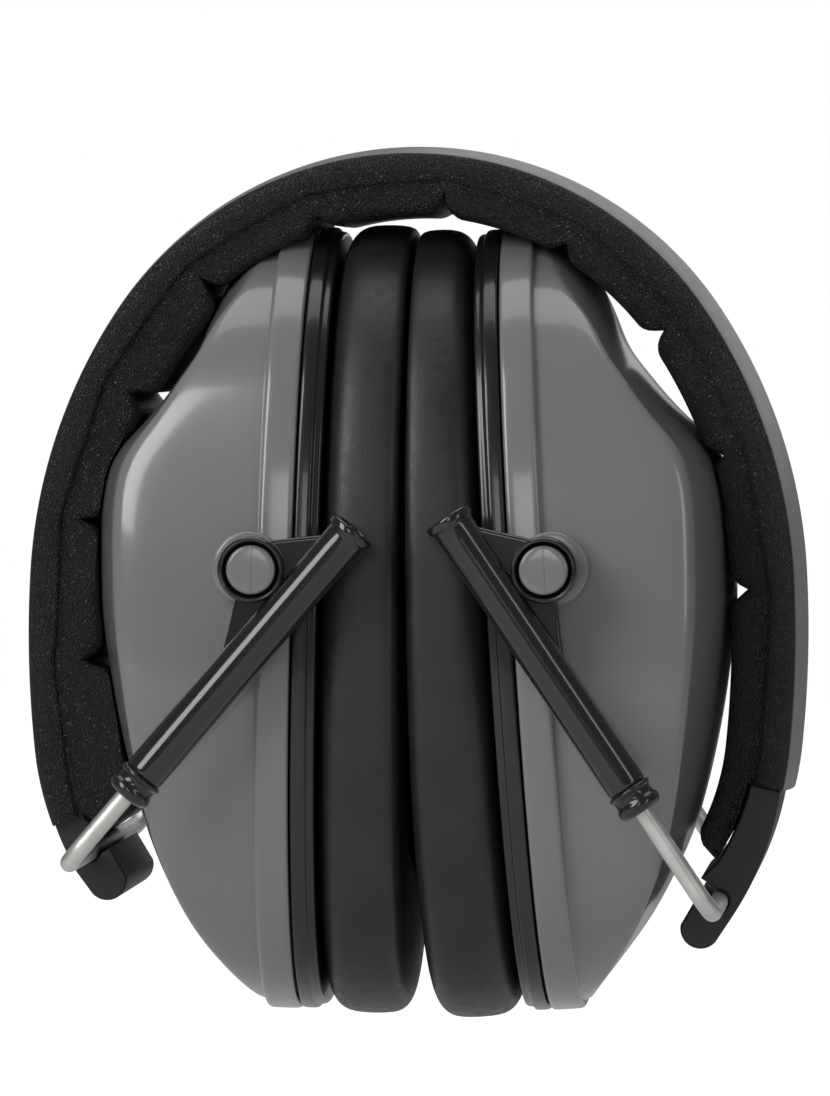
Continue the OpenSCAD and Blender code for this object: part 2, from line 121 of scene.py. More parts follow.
# The dome's line over the middle: height from the studs, and how far out from them it stands
DOME = ((-57.6, 0.0), (-45.0, 10.2), (-33.0, 16.3), (-15.4, 21.0), (-5.0, 22.6), (5.0, 22.9),
        (11.0, 22.2), (15.0, 20.2), (16.6, 18.6), (18.8, 16.5), (23.0, 13.2), (27.5, 10.3),
        (32.5, 8.7), (36.5, 7.0), (41.0, 3.6), (43.3, 0.0))
# Studs and bosses, which both start inside the cup's wall
STUD_R, HEAD_R, HEAD_T = 2.8, 3.15, 1.3
STUD_ROOT, BOSS_R, BOSS_OUT, BOSS_FACE = 34.5, 4.8, 0.7, 39.45

# Yokes, sleeves and band ends
WIRE_R, BEND_R, LEG_L = 1.2, 3.2, 47.0
BEAD_R, BEAD_L = 1.65, 2.0
SLEEVE_Y, SLEEVE_L, SLEEVE_R = 43.3, 41.2, 2.65
BUSH_L = 3.5
RING_OFFSET, RING_FROM_TOP, RING_R, RING_Y = 6.5, 12.5, 4.3, (39.9, 44.7)
PIVOT_S = {"left": -121.6, "right": 128.3}
PIVOT_DEPTH = {"left": 3.8, "right": 2.4}
HOOK_R, END_W = 3.1, 35.6


# ---------------------------------------------------------------- camera and studio
def aim(obj, target):
    obj.rotation_euler = (Vector(target) - obj.location).to_track_quat("-Z", "Y").to_euler()


def make_camera():
    target = Vector((-0.79 * MM, 0.0, -43.36 * MM))
    azimuth, elevation, distance = math.radians(4.0), math.radians(1.5), 1.17
    data = bpy.data.cameras.new("camera")
    data.lens = 293.6
    data.sensor_width = 36.0
    data.clip_start = 0.05
    camera = bpy.data.objects.new("camera", data)
    scene.collection.objects.link(camera)
    direction = Vector((math.sin(azimuth) * math.cos(elevation),
                        -math.cos(azimuth) * math.cos(elevation), math.sin(elevation)))
    camera.location = target + distance * direction
    aim(camera, target)
    scene.camera = camera


def area_light(name, location, size, power):
    data = bpy.data.lights.new(name, "AREA")
    data.shape = "RECTANGLE"
    data.size, data.size_y = size
    data.energy = power
    light = bpy.data.objects.new(name, data)
    scene.collection.objects.link(light)
    light.location = location
    aim(light, LIGHT_TARGET)


def glow(tree, kind, strength, color=(1, 1, 1)):
    """A background or emission shader's output."""
    made = tree.nodes.new(kind)
    made.inputs["Color"].default_value = (*color, 1)
    made.inputs["Strength"].default_value = strength
    return made.outputs[0]


def seen_directly(tree, lighting, view):
    """A shader that lights the scene as one thing and shows behind the object as another."""
    pick = tree.nodes.new("ShaderNodeMixShader")
    path = tree.nodes.new("ShaderNodeLightPath")
    tree.links.new(path.outputs["Is Camera Ray"], pick.inputs["Fac"])
    tree.links.new(lighting, pick.inputs[1])
    tree.links.new(view, pick.inputs[2])
    return pick.outputs["Shader"]


def make_studio():
    for light in LIGHTS:
        area_light(*light)
    world = bpy.data.worlds.new("studio")
    scene.world = world
    world.use_nodes = True
    tree = world.node_tree
    tree.nodes.clear()
    output = tree.nodes.new("ShaderNodeOutputWorld")
    ambient = glow(tree, "ShaderNodeBackground", 0.14, (0.9, 0.95, 1.0))
    backdrop = glow(tree, "ShaderNodeBackground", 1.0)
    tree.links.new(seen_directly(tree, ambient, backdrop), output.inputs["Surface"])
    scene.view_settings.view_transform = "Standard"


def make_floor():
    """A pale floor, nearly white to the camera."""
    low = cad_bounds[0].z - UNFOLDED_DROP
    bpy.ops.mesh.primitive_plane_add(size=6.0, location=(0, 0, low))
    floor = bpy.context.object
    floor.name = "floor"
    material = bpy.data.materials.new("pale_floor")
    material.use_nodes = True
    tree = material.node_tree
    shader = tree.nodes["Principled BSDF"]
    shader.inputs["Base Color"].default_value = (0.85, 0.85, 0.85, 1)
    shader.inputs["Roughness"].default_value = 0.9
    shader.inputs["Specular IOR Level"].default_value = 0.0
    unlit = glow(tree, "ShaderNodeEmission", 0.0)
    white = glow(tree, "ShaderNodeEmission", 0.94)
    add = tree.nodes.new("ShaderNodeAddShader")
    tree.links.new(shader.outputs["BSDF"], add.inputs[0])
    tree.links.new(seen_directly(tree, unlit, white), add.inputs[1])
    tree.links.new(add.outputs["Shader"], tree.nodes["Material Output"].inputs["Surface"])
    floor.data.materials.append(material)


# ---------------------------------------------------------------- materials
class Material:
    """A Principled material with small helpers for its noise, bump and colour variation."""

    def __init__(self, name, color, roughness, metallic=0.0, coat=0.0, coat_roughness=0.1,
                 specular=0.5):
        self.material = bpy.data.materials.new(name)
        self.material.use_nodes = True
        self.tree = self.material.node_tree
        self.shader = self.tree.nodes["Principled BSDF"]
        values = {"Base Color": (*color, 1), "Roughness": roughness, "Metallic": metallic,
                  "Coat Weight": coat, "Coat Roughness": coat_roughness,
                  "Specular IOR Level": specular}
        for socket, value in values.items():
            self.shader.inputs[socket].default_value = value
        self.coords = self.tree.nodes.new("ShaderNodeTexCoord")
        self.normal = None

    def node(self, kind, **inputs):
        made = self.tree.nodes.new(kind)
        for key, value in inputs.items():
            made.inputs[key.replace("_", " ")].default_value = value
        return made

    def noise(self, scale, detail, stretch=(1, 1, 1)):
        mapping = self.node("ShaderNodeMapping", Scale=stretch)
        self.tree.links.new(self.coords.outputs["Object"], mapping.inputs["Vector"])
        made = self.node("ShaderNodeTexNoise", Scale=scale, Detail=detail, Roughness=0.5)
        self.tree.links.new(mapping.outputs["Vector"], made.inputs["Vector"])
        return made.outputs["Fac"]

    def cells(self, scale, feature="DISTANCE_TO_EDGE"):
        made = self.node("ShaderNodeTexVoronoi", Scale=scale)
        made.feature = feature
        self.tree.links.new(self.coords.outputs["Object"], made.inputs["Vector"])
        return made.outputs["Distance"]

    def ramp(self, source, low, high, to_low=0.0, to_high=1.0):
        made = self.node("ShaderNodeMapRange", From_Min=low, From_Max=high, To_Min=to_low,
                         To_Max=to_high)
        self.tree.links.new(source, made.inputs["Value"])
        return made.outputs["Result"]

    def bump(self, height, strength, distance):
        made = self.node("ShaderNodeBump", Strength=strength, Distance=distance)
        self.tree.links.new(height, made.inputs["Height"])
        if self.normal:
            self.tree.links.new(self.normal, made.inputs["Normal"])
        self.normal = made.outputs["Normal"]
        self.tree.links.new(self.normal, self.shader.inputs["Normal"])
        return self

    def vary_roughness(self, source, low, high):
        varied = self.ramp(source, NOISE_LOW, NOISE_HIGH, low, high)
        self.tree.links.new(varied, self.shader.inputs["Roughness"])

    def vary_color(self, source, dark, light, low=NOISE_LOW, high=NOISE_HIGH):
        made = self.tree.nodes.new("ShaderNodeValToRGB")
        stops = made.color_ramp.elements
        stops[0].position, stops[1].position = low, high
        stops[0].color, stops[1].color = (*dark, 1), (*light, 1)
        self.tree.links.new(source, made.inputs["Fac"])
        self.tree.links.new(made.outputs["Color"], self.shader.inputs["Base Color"])


def band_cover_material():
    m = Material("band_cover_vinyl", (0.25, 0.25, 0.255), 0.34, specular=0.45)
    m.vary_color(m.noise(90, 3), (0.235, 0.235, 0.24), (0.265, 0.265, 0.27))
    m.vary_roughness(m.noise(400, 3), 0.31, 0.39)
    return m.bump(m.noise(1800, 2), 0.12, 0.0001).material


def grain_material(name, dark, light, cell_scale, strength, roughness):
    """Leather grain: raised cells with creases between them, over broad unevenness."""
    m = Material(name, dark, roughness, specular=0.5)
    m.vary_color(m.noise(160, 4), dark, light)
    m.vary_roughness(m.noise(700, 3), roughness - 0.06, roughness + 0.07)
    m.bump(m.ramp(m.cells(cell_scale), 0.0, 0.25), strength, 0.0002)
    m.bump(m.noise(cell_scale * 2.5, 3), strength * 0.5, 0.00012)
    return m.bump(m.noise(120, 2), 0.15, 0.0006).material


def moulded_material(name, color, light, roughness, coat=0.0, coat_roughness=0.05, texture=0.05,
                     texture_scale=900):
    """Moulded plastic: faint sink marks under the gloss, and a fine surface."""
    m = Material(name, color, roughness, coat=coat, coat_roughness=coat_roughness)
    m.vary_color(m.noise(45, 3), color, light)
    m.vary_roughness(m.noise(260, 2), roughness * 0.95, roughness * 1.06)
    m.bump(m.noise(texture_scale, 2), texture, 0.0001)
    return m.bump(m.noise(30, 0), 0.03, 0.0008).material


def wire_material():
    m = Material("drawn_wire", (0.74, 0.72, 0.69), 0.48, metallic=1.0)
    m.vary_color(m.noise(250, 3), (0.68, 0.66, 0.63), (0.82, 0.80, 0.77))
    m.vary_roughness(m.noise(900, 3), 0.42, 0.54)
    return m.bump(m.noise(3000, 2), 0.08, 0.00005).material


def spring_material():
    m = Material("spring_strip", (0.42, 0.43, 0.45), 0.32, metallic=1.0)
    m.vary_color(m.noise(120, 3), (0.36, 0.37, 0.39), (0.48, 0.49, 0.51))
    return m.bump(m.noise(2000, 2, stretch=(1, 12, 1)), 0.1, 0.00006).material


def foam_material(name, dark, light):
    m = Material(name, dark, 0.95, specular=0.2)
    m.vary_color(m.cells(900, "F1"), light, dark, 0.1, 0.6)
    return m.bump(m.cells(900, "F1"), 0.9, 0.0006).material


def make_materials():
    black = (0.011, 0.011, 0.012)
    return {
        "band_cover": band_cover_material(),
        "spring": spring_material(),
        "padding": grain_material(
            "padding_grain", (0.007, 0.007, 0.0075), (0.013, 0.013, 0.0135),
            cell_scale=2900, strength=0.85, roughness=0.36),
        "cushion_cover": grain_material(
            "cushion_vinyl", (0.017, 0.0168, 0.0172), (0.023, 0.0227, 0.0232),
            cell_scale=3200, strength=0.10, roughness=0.40),
        "band_end": moulded_material(
            "band_end_plastic", (0.012, 0.012, 0.0125), (0.018, 0.018, 0.0185), 0.45,
            texture=0.25, texture_scale=2200),
        "wire": wire_material(),
        "sleeve": moulded_material("sleeve_plastic", black, (0.014, 0.014, 0.015), 0.16, coat=0.6),
        "bush": moulded_material("bush_plastic", black, (0.015, 0.015, 0.016), 0.2, coat=0.4),
        "cup": moulded_material(
            "cup_plastic", (0.207, 0.210, 0.205), (0.211, 0.214, 0.209), 0.24,
            coat=0.75, coat_roughness=0.10, texture=0.012),
        "seal_plate": moulded_material(
            "seal_plate_plastic", black, (0.015, 0.015, 0.017), 0.24, coat=0.35),
        "damping_foam": foam_material("damping_foam", (0.03, 0.03, 0.032), (0.07, 0.07, 0.072)),
        "cushion_foam": foam_material("cushion_foam", (0.08, 0.08, 0.08), (0.16, 0.16, 0.16)),
    }


# ---------------------------------------------------------------- meshes
def make_piece(name, rows, slot, place=None, closed_rows=False, capped=False, levels=1):
    """A smooth quad mesh through rows of points in mm. capped closes the first and last row."""
    mesh = bmesh.new()
    grid = [[mesh.verts.new(Vector(place(p) if place else p) * MM) for p in row] for row in rows]
    n_rows, n_cols = len(grid), len(grid[0])
    for j in range(n_rows if closed_rows else n_rows - 1):
        a, b = grid[j], grid[(j + 1) % n_rows]
        for i in range(n_cols):
            k = (i + 1) % n_cols
            mesh.faces.new((a[i], a[k], b[k], b[i]))
    if capped:
        for row in (grid[0], grid[-1]):
            centre = mesh.verts.new(sum((v.co for v in row), Vector()) / n_cols)
            for i in range(n_cols):
                mesh.faces.new((row[i], row[(i + 1) % n_cols], centre))
    return finish_mesh(name, mesh, slot, levels)


def finish_mesh(name, mesh, slot, levels):
    bmesh.ops.remove_doubles(mesh, verts=mesh.verts, dist=1e-7)
    bmesh.ops.recalc_face_normals(mesh, faces=mesh.faces)
    for edge in mesh.edges:
        edge.smooth = (levels > 0 or len(edge.link_faces) < 2
                       or edge.calc_face_angle() < SHARP_ANGLE)
    data = bpy.data.meshes.new(name)
    mesh.to_mesh(data)
    mesh.free()
    data.shade_smooth()
    piece = bpy.data.objects.new(name, data)
    scene.collection.objects.link(piece)
    piece.data.materials.append(materials[slot])
    if levels:
        subdivide(piece, levels)
    return piece


def apply_modifiers(piece):
    depsgraph = bpy.context.evaluated_depsgraph_get()
    made = bpy.data.meshes.new_from_object(piece.evaluated_get(depsgraph))
    piece.modifiers.clear()
    piece.data = made


def subdivide(piece, levels):
    modifier = piece.modifiers.new("smooth", "SUBSURF")
    modifier.levels = modifier.render_levels = levels
    apply_modifiers(piece)
    piece.data.shade_smooth()


def join(name, pieces):
    """Several meshes as one piece."""
    first = pieces[0]
    with bpy.context.temp_override(active_object=first, selected_editable_objects=pieces):
        bpy.ops.object.join()
    first.name = name
    return first


def unit_circle(steps):
    return [(math.cos(2 * math.pi * i / steps), math.sin(2 * math.pi * i / steps))
            for i in range(steps)]


def lathe(name, profile, slot, place):
    """A turned shape: the profile's (radius, height) points turned about the local Z axis."""
    circle = unit_circle(40)
    rows = [[(r * c, r * s, h) for c, s in circle] for r, h in profile]
    return make_piece(name, rows, slot, place, closed_rows=profile[0] == profile[-1])


def prism(name, outline_xz, y0, y1, slot, place, bevel):
    """A plate: an (x, z) outline carried along Y from y0 to y1, with rounded edges."""
    mesh = bmesh.new()
    low = [mesh.verts.new((x, y0, z)) for x, z in outline_xz]
    high = [mesh.verts.new((x, y1, z)) for x, z in outline_xz]
    mesh.faces.new(low)
    mesh.faces.new(high[::-1])
    for i in range(len(outline_xz)):
        k = (i + 1) % len(outline_xz)
        mesh.faces.new((low[i], low[k], high[k], high[i]))
    bmesh.ops.recalc_face_normals(mesh, faces=mesh.faces)
    rim = [e for e in mesh.edges if abs(e.verts[0].co.y - e.verts[1].co.y) < 1e-6]
    bmesh.ops.bevel(mesh, geom=rim, offset=bevel, segments=4, profile=0.5, affect="EDGES",
                    clamp_overlap=True)
    for v in mesh.verts:
        v.co = Vector(place(v.co)) * MM
    piece = finish_mesh(name, mesh, slot, levels=0)
    weighted = piece.modifiers.new("normals", "WEIGHTED_NORMAL")
    weighted.keep_sharp = True
    apply_modifiers(piece)
    return piece


def arc_points(centre, radius, start, end, steps):
    turns = [math.radians(start + (end - start) * k / steps) for k in range(steps + 1)]
    return [(centre[0] + radius * math.cos(t), centre[1] + radius * math.sin(t)) for t in turns]


# ---------------------------------------------------------------- the band's line
def band_arcs():
    """Each arc's start along the line, turn there, centre, and radius."""
    s, turn, centre, radius = 0.0, 0.0, (0.0, BAND_TOP - ARC_RADIUS[0]), ARC_RADIUS[0]
    arcs = []
    for r, t in zip(ARC_RADIUS, ARC_TURN):
        step = radius - r
        centre = (centre[0] + step * math.sin(math.radians(turn)),
                  centre[1] + step * math.cos(math.radians(turn)))
        arcs.append((s, turn, centre, r))
        s, turn, radius = s + math.radians(t) * r, turn + t, r
    return arcs


ARCS = band_arcs()


def on_band(s, depth):
    """The (x, z) point s along the band from the crown, negative on the left, and depth inside."""
    a = abs(s)
    start, turn, centre, radius = [arc for arc in ARCS if arc[0] <= a][-1]
    angle = math.radians(turn) + (a - start) / radius
    x = centre[0] + (radius - depth) * math.sin(angle)
    return (math.copysign(x, s) if s else 0.0, centre[1] + (radius - depth) * math.cos(angle))


def weld(k):
    """Where along the band weld k lies. The first and last are the padding's ends."""
    if k == 0:
        return PAD_END["left"]
    if k == PAD_COUNT:
        return PAD_END["right"]
    return PAD_START + k * PAD_PITCH


def band_point(s, depth, y=0.0):
    x, z = on_band(s, depth)
    return Vector((x, y, z)) * MM


# ---------------------------------------------------------------- the cups
def outline(h, w, centre=CUP_MID, n=96):
    """A rounded oval as (y, z) points: half height h, half width w."""
    power = 2 / OUTLINE_POWER
    return [(w * math.copysign(abs(a) ** power, a), centre + h * math.copysign(abs(b) ** power, b))
            for a, b in unit_circle(n)]


def smooth_lookup(table, key):
    """Monotone cubic through the table's points."""
    if key <= table[0][0]:
        return table[0][1]
    if key >= table[-1][0]:
        return table[-1][1]
    k = max(i for i in range(len(table) - 1) if table[i][0] <= key)

    def chord(i):
        return (table[i + 1][1] - table[i][1]) / (table[i + 1][0] - table[i][0])

    def slope(i):
        if i == 0 or i == len(table) - 1:
            return chord(0) if i == 0 else chord(len(table) - 2)
        a, b = chord(i - 1), chord(i)
        return 0.0 if a * b <= 0 else 2 * a * b / (a + b)

    width = table[k + 1][0] - table[k][0]
    t = (key - table[k][0]) / width
    y0, y1, m0, m1 = table[k][1], table[k + 1][1], slope(k) * width, slope(k + 1) * width
    return ((2 * t ** 3 - 3 * t * t + 1) * y0 + (t ** 3 - 2 * t * t + t) * m0
            + (3 * t * t - 2 * t ** 3) * y1 + (t ** 3 - t * t) * m1)


def dome_height(y, z, edge):
    """How far the dome stands out at (y, z). edge is the distance in from the dome's foot.

    The line over the middle falls off to the sides by crown_drop, and near the top it bends down
    towards them. The steep wall and this cap meet in a rounded corner.
    """
    wall_slope, corner, crown_drop, bend = 9.0, 7.0, 0.24, 0.011
    bend_from, bend_over = 24.0, 13.0
    t = max(0.0, min(1.0, (z - bend_from) / bend_over))
    line = smooth_lookup(DOME, z + bend * y * y * t * t * (3 - 2 * t))
    cap = line * (1 - crown_drop * (y / (CUP_W / 2)) ** 2)
    wall = wall_slope * edge
    if cap < 1e-4 or wall < 1e-4:
        return 0.0
    return (cap ** -corner + wall ** -corner) ** (-1 / corner)


def cup_placer(side):
    """From the cup's frame, +X outward from the studs' axis, to the row frame."""
    sign, tilt = SIDES[side], math.radians(CUP_TILT[side])

    def place(p):
        x = STUD_X + p[0] * math.cos(tilt) - p[2] * math.sin(tilt)
        z = STUD_Z + p[0] * math.sin(tilt) + p[2] * math.cos(tilt)
        return (sign * x, p[1], z)

    return place


def rings_inward(foot, rings, density):
    """The foot's outline drawn in towards the middle, as rings of (y, z, distance in)."""
    for j in range(rings):
        rho = 1 - (j / rings) ** density
        yield [(y * rho, CUP_MID + (z - CUP_MID) * rho, (1 - rho) * math.hypot(y, z - CUP_MID))
               for y, z in foot]


def cup_rows():
    """The cup's outside as rings, from the flange's edge over the step and in to the middle."""
    h, w, tip = CUP_H / 2, CUP_W / 2, 0.02
    flange = ((RIM_U + 0.02, 2.2), (RIM_U + 0.02, 0.6), (RIM_U + 0.12, 0.2), (RIM_U + 0.4, 0.03),
              (RIM_U + 0.9, 0.0), (-1.3, 0.0), (-0.75, 0.04), (-0.45, 0.2), (-0.32, 0.5),
              (-0.3, 0.8))
    rows = [[(u, y, z) for y, z in outline(h - inset, w - inset)] for u, inset in flange]
    # The dome starts level with the flange's face, and reaches its own height as far in from there
    sunk = 0.3
    foot = outline(h - FOOT_INSET, w - FOOT_INSET)
    for ring in rings_inward(foot, 44, 2.2):
        rows.append([(dome_height(y, z, edge) - sunk * (1 - min(1, edge / sunk)), y, z)
                     for y, z, edge in ring])
    middle = dome_height(0, CUP_MID, h)
    rows.append([(middle, tip * y / w, CUP_MID + tip * (z - CUP_MID) / h) for y, z in foot])
    return rows


def make_stud(name, end_sign, place):
    """A pivot stud, its boss and the faint parting line over its head."""
    head = RING_Y[1] - 0.1
    under_head, line_half = head - HEAD_T, HEAD_R - 0.1

    def stud_place(p):
        return place((p[0], end_sign * p[2], p[1]))

    def boss_place(p):
        return stud_place((p[0] + BOSS_OUT, p[1], p[2]))

    def line_place(p):
        return place((p[0], end_sign * p[1], p[2]))

    boss = lathe(f"{name}_boss", (
        (0.02, STUD_ROOT), (BOSS_R, STUD_ROOT), (BOSS_R, BOSS_FACE - 0.55),
        (BOSS_R - 0.15, BOSS_FACE - 0.15), (BOSS_R - 0.5, BOSS_FACE), (0.02, BOSS_FACE),
    ), "cup", boss_place)
    stud = lathe(f"{name}_stud", (
        (0.02, STUD_ROOT), (STUD_R, STUD_ROOT), (STUD_R, under_head), (HEAD_R - 0.2, under_head),
        (HEAD_R, under_head + 0.2), (HEAD_R, head - 0.4), (HEAD_R - 0.12, head - 0.14),
        (HEAD_R - 0.4, head), (0.02, head),
    ), "cup", stud_place)
    line = prism(f"{name}_parting_line", (
        (-0.09, -line_half), (0.09, -line_half), (0.09, line_half), (-0.09, line_half),
    ), head - 0.3, head + 0.07, "cup", line_place, bevel=0.05)
    return [boss, stud, line]


def make_cup(side):
    place = cup_placer(side)
    shell = make_piece(f"{side}_cup_dome", cup_rows(), "cup", place)
    solidify = shell.modifiers.new("wall", "SOLIDIFY")
    solidify.thickness = SHELL_WALL * MM
    solidify.offset = -1
    apply_modifiers(shell)
    parts = [shell]
    for end, sign in ENDS.items():
        parts += make_stud(f"{side}_{end}", sign, place)
    cup = join(f"{side}_cup", parts)
    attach(cup, f"{side}_cup")
    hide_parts(f"{side}_cup_shell")
    return cup


def make_seal_plate(side):
    """The black plate between cup and cushion: a ring with a rounded edge and a moulded step."""
    h, w = CUP_H / 2, CUP_W / 2
    back, front = RIM_U - 0.1, PLATE_FRONT
    reach_h, reach_w = h - OPEN_H, w - OPEN_W
    # Depth, and how far across the ring from its outer edge (0) to its opening (1)
    section = ((back, 0.99), (back, 0.02), (back - 0.15, 0.004), (back - 0.5, 0.0),
               (front + 1.5, 0.0), (front + 1.25, 0.004), (front + 1.1, 0.02),
               (front + 0.95, 0.028), (front + 0.35, 0.03), (front + 0.1, 0.04), (front, 0.06),
               (front, 0.94), (front + 0.1, 0.985), (front + 0.4, 1.0), (back - 0.4, 1.0))
    rows = [[(u, y, z) for y, z in outline(h - 0.1 - reach_h * f, w - 0.1 - reach_w * f)]
            for u, f in section]
    plate = make_piece(f"{side}_plate", rows, "seal_plate", cup_placer(side), closed_rows=True)
    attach(plate, f"{side}_cup")
    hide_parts(f"{side}_seal_plate")


def soft_floor(value, floor, softness=0.9):
    """The larger of value and floor, rounded where they meet."""
    d = (value - floor) / softness
    return floor + softness * (math.log1p(math.exp(-abs(d))) + max(d, 0.0))


def make_cushion(side):
    """The ear cushion: a stuffed ring, thinner at the top, flattened where it meets its twin."""
    place = cup_placer(side)
    sign = SIDES[side]
    back, front = PLATE_FRONT - 0.05, -STUD_X - 1.6
    half, mid = (back - front) / 2, (back + front) / 2
    outer_h, outer_w = CUP_H / 2 + 0.4, CUP_W / 2 - 0.4
    inner_h, inner_w = OPEN_H - 2, OPEN_W - 2
    steps, squareness, face_gap = 28, 0.55, 0.22
    rows = []
    for c, s in unit_circle(steps):
        k = (1 + math.copysign(abs(c) ** squareness, c)) / 2
        u = mid + half * math.copysign(abs(s) ** squareness, s)
        row = []
        for y, z in outline(inner_h + (outer_h - inner_h) * k, inner_w + (outer_w - inner_w) * k):
            x, y1, z1 = place((u, y, z))
            row.append((sign * soft_floor(sign * x, face_gap), y1, z1))
        rows.append(row)
    cushion = make_piece(f"{side}_cushion", rows, "cushion_cover", closed_rows=True)
    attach(cushion, f"{side}_cup")
    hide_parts(f"{side}_cushion_cover", f"{side}_cushion_foam")


def make_liner(side):
    """Open-cell foam that lines the cup: follows the dome inside, with a rounded ear hollow."""
    clear, lip, depth, hollow_mid = SHELL_WALL + 0.6, 0.2, 12.5, -12
    foot = outline(CUP_H / 2 - FOOT_INSET - clear, CUP_W / 2 - FOOT_INSET - clear, n=64)
    hollow = outline(26, 22, centre=hollow_mid, n=64)

    def hollow_ring(u, f):
        return [(u, y * f, hollow_mid + (z - hollow_mid) * f) for y, z in hollow]

    inner = [hollow_ring(depth, f) for f in (0.02, 0.4, 0.8, 0.95)]
    inner += [[(depth * g, y, z) for y, z in hollow] for g in (0.92, 0.6, 0.3, 0.08)]
    inner.append(hollow_ring(lip, 1.03))
    outer = [[(max(lip, dome_height(y, z, edge) - clear), y, z) for y, z, edge in ring]
             for ring in rings_inward(foot, 18, 1.8)]
    middle = dome_height(0, CUP_MID, 40) - clear
    outer.append([(middle, 0.01 * y, CUP_MID + 0.01 * (z - CUP_MID)) for y, z in foot])
    liner = make_piece(f"{side}_liner", inner + outer, "damping_foam", cup_placer(side))
    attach(liner, f"{side}_cup")
    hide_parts(f"{side}_damping_foam")


# ---------------------------------------------------------------- the headband
def band_strip(name, slot, s0, s1, section, step=1.0, steps_at=()):
    """A section of (depth, y) points, or a function of s that gives them, carried along the band.

    steps_at lists where the section changes at once, and takes a close pair of stations.
    """
    count = max(2, math.ceil((s1 - s0) / step))
    stations = [s0 + (s1 - s0) * j / count for j in range(count + 1)]
    stations += [s + d for s in steps_at if s0 < s < s1 for d in (-0.02, 0.02)]
    rows = []
    for s in sorted(stations):
        row = []
        for depth, y in (section(s) if callable(section) else section):
            x, z = on_band(s, depth)
            row.append((x, y, z))
        rows.append(row)
    return make_piece(name, rows, slot, capped=True, levels=0)


def blend_side(piece):
    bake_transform(piece)


def side_range(side, s_end):
    """From the weld where the two sides meet to s_end, lower end first."""
    middle = weld(SPLIT_WELD)
    return (s_end, middle) if side == "left" else (middle, s_end)


def cover_section():
    """The cover's arched strip with turned-down, rounded long edges."""
    w = COVER_W / 2
    radius = (w * w + COVER_ARCH ** 2) / (2 * COVER_ARCH)

    def arch(y):
        return radius - math.sqrt(radius * radius - y * y)

    ys = [w * k / 12 for k in range(-12, 13)]
    outer = [(arch(y) + (0.18 if abs(y) == w else 0), y) for y in ys]
    inner = [(arch(y) + COVER_T - (0.12 if abs(y) == w else 0), y) for y in reversed(ys)]
    edge_depth, edge_y = COVER_ARCH + COVER_T * 0.5, w + 0.18
    return outer + [(edge_depth, edge_y)] + inner + [(edge_depth, -edge_y)]


def spring_section():
    w, d0, d1 = SPRING_W / 2, SPRING_DEPTH, SPRING_DEPTH + SPRING_T
    edge_depth, edge_y = (d0 + d1) / 2, w + 0.05
    return ([(d0, y) for y in (-w, 0, w)] + [(edge_depth, edge_y)]
            + [(d1, y) for y in (w, 0, -w)] + [(edge_depth, -edge_y)])


def plump(distance):
    """How far a segment's stuffing stands out: all the way, but rounded off next to its weld."""
    rounded_over = 3.2
    d = min(1.0, max(0.0, distance) / rounded_over)
    return math.sqrt(1 - (1 - d) ** 2)


def padding_section_maker(cups):
    """The padding's section at s: walls that wrap the cover's edges, a welded border, a face."""
    weld_depth, under_end = 6.0, 5.7
    lowest, cup_gap = weld_depth - 0.2, 0.35
    under_spring = SPRING_DEPTH + SPRING_T + 0.05
    under_cover = COVER_ARCH + COVER_T + 0.06
    w, inside = PAD_W / 2, COVER_W / 2 + 0.27

    def free_depth(s, y, wanted):
        """Less than wanted where a cup is in the way. Only the stuffed face gives way."""
        if wanted <= lowest:
            return wanted
        start = band_point(s, 1.0, y)
        inward = (band_point(s, 12.0, y) - start).normalized()
        hit = min((tree.ray_cast(start, inward, 0.02)[3] or 1.0) for tree in cups) / MM + 1.0
        return min(wanted, max(lowest, hit - cup_gap))

    def section(s):
        k = max(i for i in range(PAD_COUNT) if weld(i) <= s + 1e-6)
        length = weld(k + 1) - weld(k)
        t = min(1.0, max(0.0, (s - weld(k)) / length))
        lift = plump(min(t, 1 - t) * length)
        border = 4.3 + 0.6 * (1 - (2 * t - 1) ** 2)
        face = weld_depth + (BAND_TOP + PAD_MORE[k] - weld_depth) * lift
        beyond_cover = not COVER_END["left"] <= s <= COVER_END["right"]
        beyond_wall = not WALL_END["left"] <= s <= WALL_END["right"]

        back = [(under_spring, SPRING_W / 2 + 0.3), (under_cover, SPRING_W / 2 + 0.8),
                (under_cover, inside - 0.2)]
        wall = [(1.35, inside), (1.17, inside + 0.12), (1.12, inside + 0.35), (1.25, w - 0.4),
                (1.7, w - 0.05), (2.4, w + 0.22), (3.3, w + 0.28), (border - 0.35, w + 0.1),
                (border, w - 0.2), (border + 0.15, w - 0.6)]
        bulge = [(border + 0.35 + (face - border) * f, w - 0.6 - inset * (0.5 + 0.5 * lift))
                 for f, inset in ((0.25, 0.0), (0.5, 0.15), (0.75, 0.6), (0.92, 1.7))]
        flat = [(face + 0.12 * lift, y) for y in (w - 5.0, w - 9.5, w - 14.5)]
        if beyond_cover:
            back = [(under_end, y) for _, y in back]
        if beyond_wall:
            wall = [(max(d, under_end), y) for d, y in wall]
            bulge = [(max(d, under_end + 0.1), y) for d, y in bulge]
        half = back + wall + bulge + flat
        one = [(free_depth(s, y, d), y) for d, y in half]
        other = [(free_depth(s, -y, d), -y) for d, y in reversed(half)]
        middle_face = (free_depth(s, 0, face + 0.15 * lift), 0.0)
        middle_back = (under_end if beyond_cover else under_spring, 0.0)
        return one + [middle_face] + other + [middle_back]

    return section


def tree_of(piece):
    return BVHTree.FromObject(piece, bpy.context.evaluated_depsgraph_get())


